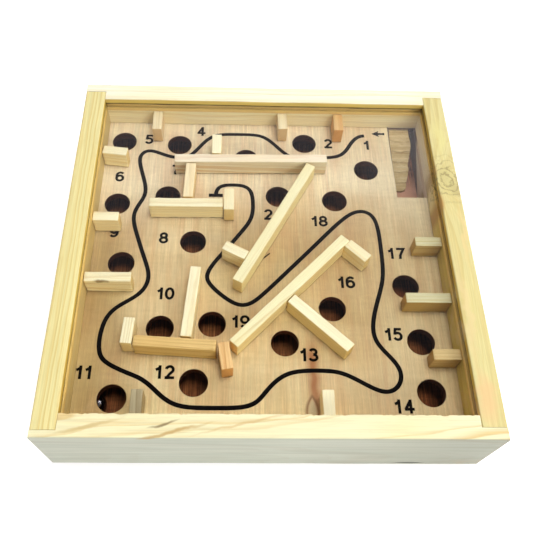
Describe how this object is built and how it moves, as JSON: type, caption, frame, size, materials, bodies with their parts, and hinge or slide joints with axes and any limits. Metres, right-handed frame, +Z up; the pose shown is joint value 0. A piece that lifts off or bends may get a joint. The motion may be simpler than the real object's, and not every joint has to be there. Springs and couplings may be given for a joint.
{
  "type": "tilt maze game",
  "caption": "Hand-held wooden tilt maze: pine box with a clear cover, a raised board with numbered holes and glued wall bars, a ball-return pocket with a ramp, and a loose steel ball.",
  "frame": {"origin": "middle of the underside, on the surface the box rests on", "axes": "+Z up through the clear cover, front of the box towards -Y, return pocket at +X +Y"},
  "size_m": [0.24, 0.24, 0.056],
  "materials": {
    "rail_pine": "smooth sanded pale pine",
    "bar_pine": "smooth sanded pale pine",
    "ramp_pine": "rough sawn pine",
    "board_ply": "smooth plywood",
    "floor_ply": "reddish brown plywood",
    "base_ply": "plain plywood",
    "clear_acrylic": "clear polished",
    "polished_steel": "polished"
  },
  "bodies": {
    "maze_box": {"front_rail": "rail_pine", "back_rail": "rail_pine", "left_rail": "rail_pine", "right_rail": "rail_pine", "base_panel": "base_ply", "tray_floor": "floor_ply", "maze_board": "board_ply", "clear_cover": "clear_acrylic", "return_ramp": "ramp_pine", "left_peg_back": "bar_pine", "left_peg_middle": "bar_pine", "left_peg_front": "bar_pine", "right_peg_back": "bar_pine", "right_peg_middle": "bar_pine", "right_peg_front": "bar_pine", "back_peg_left": "bar_pine", "back_peg_middle": "bar_pine", "back_peg_right": "bar_pine", "front_peg_left": "bar_pine", "front_peg_right": "bar_pine", "top_bar": "bar_pine", "top_bar_back_stub": "bar_pine", "top_bar_front_stub": "bar_pine", "middle_bar": "bar_pine", "middle_bar_end": "bar_pine", "slanted_bar": "bar_pine", "slanted_bar_stub": "bar_pine", "long_bar": "bar_pine", "long_bar_end": "bar_pine", "long_bar_branch": "bar_pine", "upright_bar": "bar_pine", "low_bar": "bar_pine", "low_bar_left_end": "bar_pine", "low_bar_right_end": "bar_pine"},
    "ball": {"steel_ball": "polished_steel"}
  },
  "joints": [
    {"name": "ball_roll", "type": "slide", "parent": "maze_box", "child": "ball", "axis": [1, 0, 0], "range_m": [0, 0.196]}
  ]
}
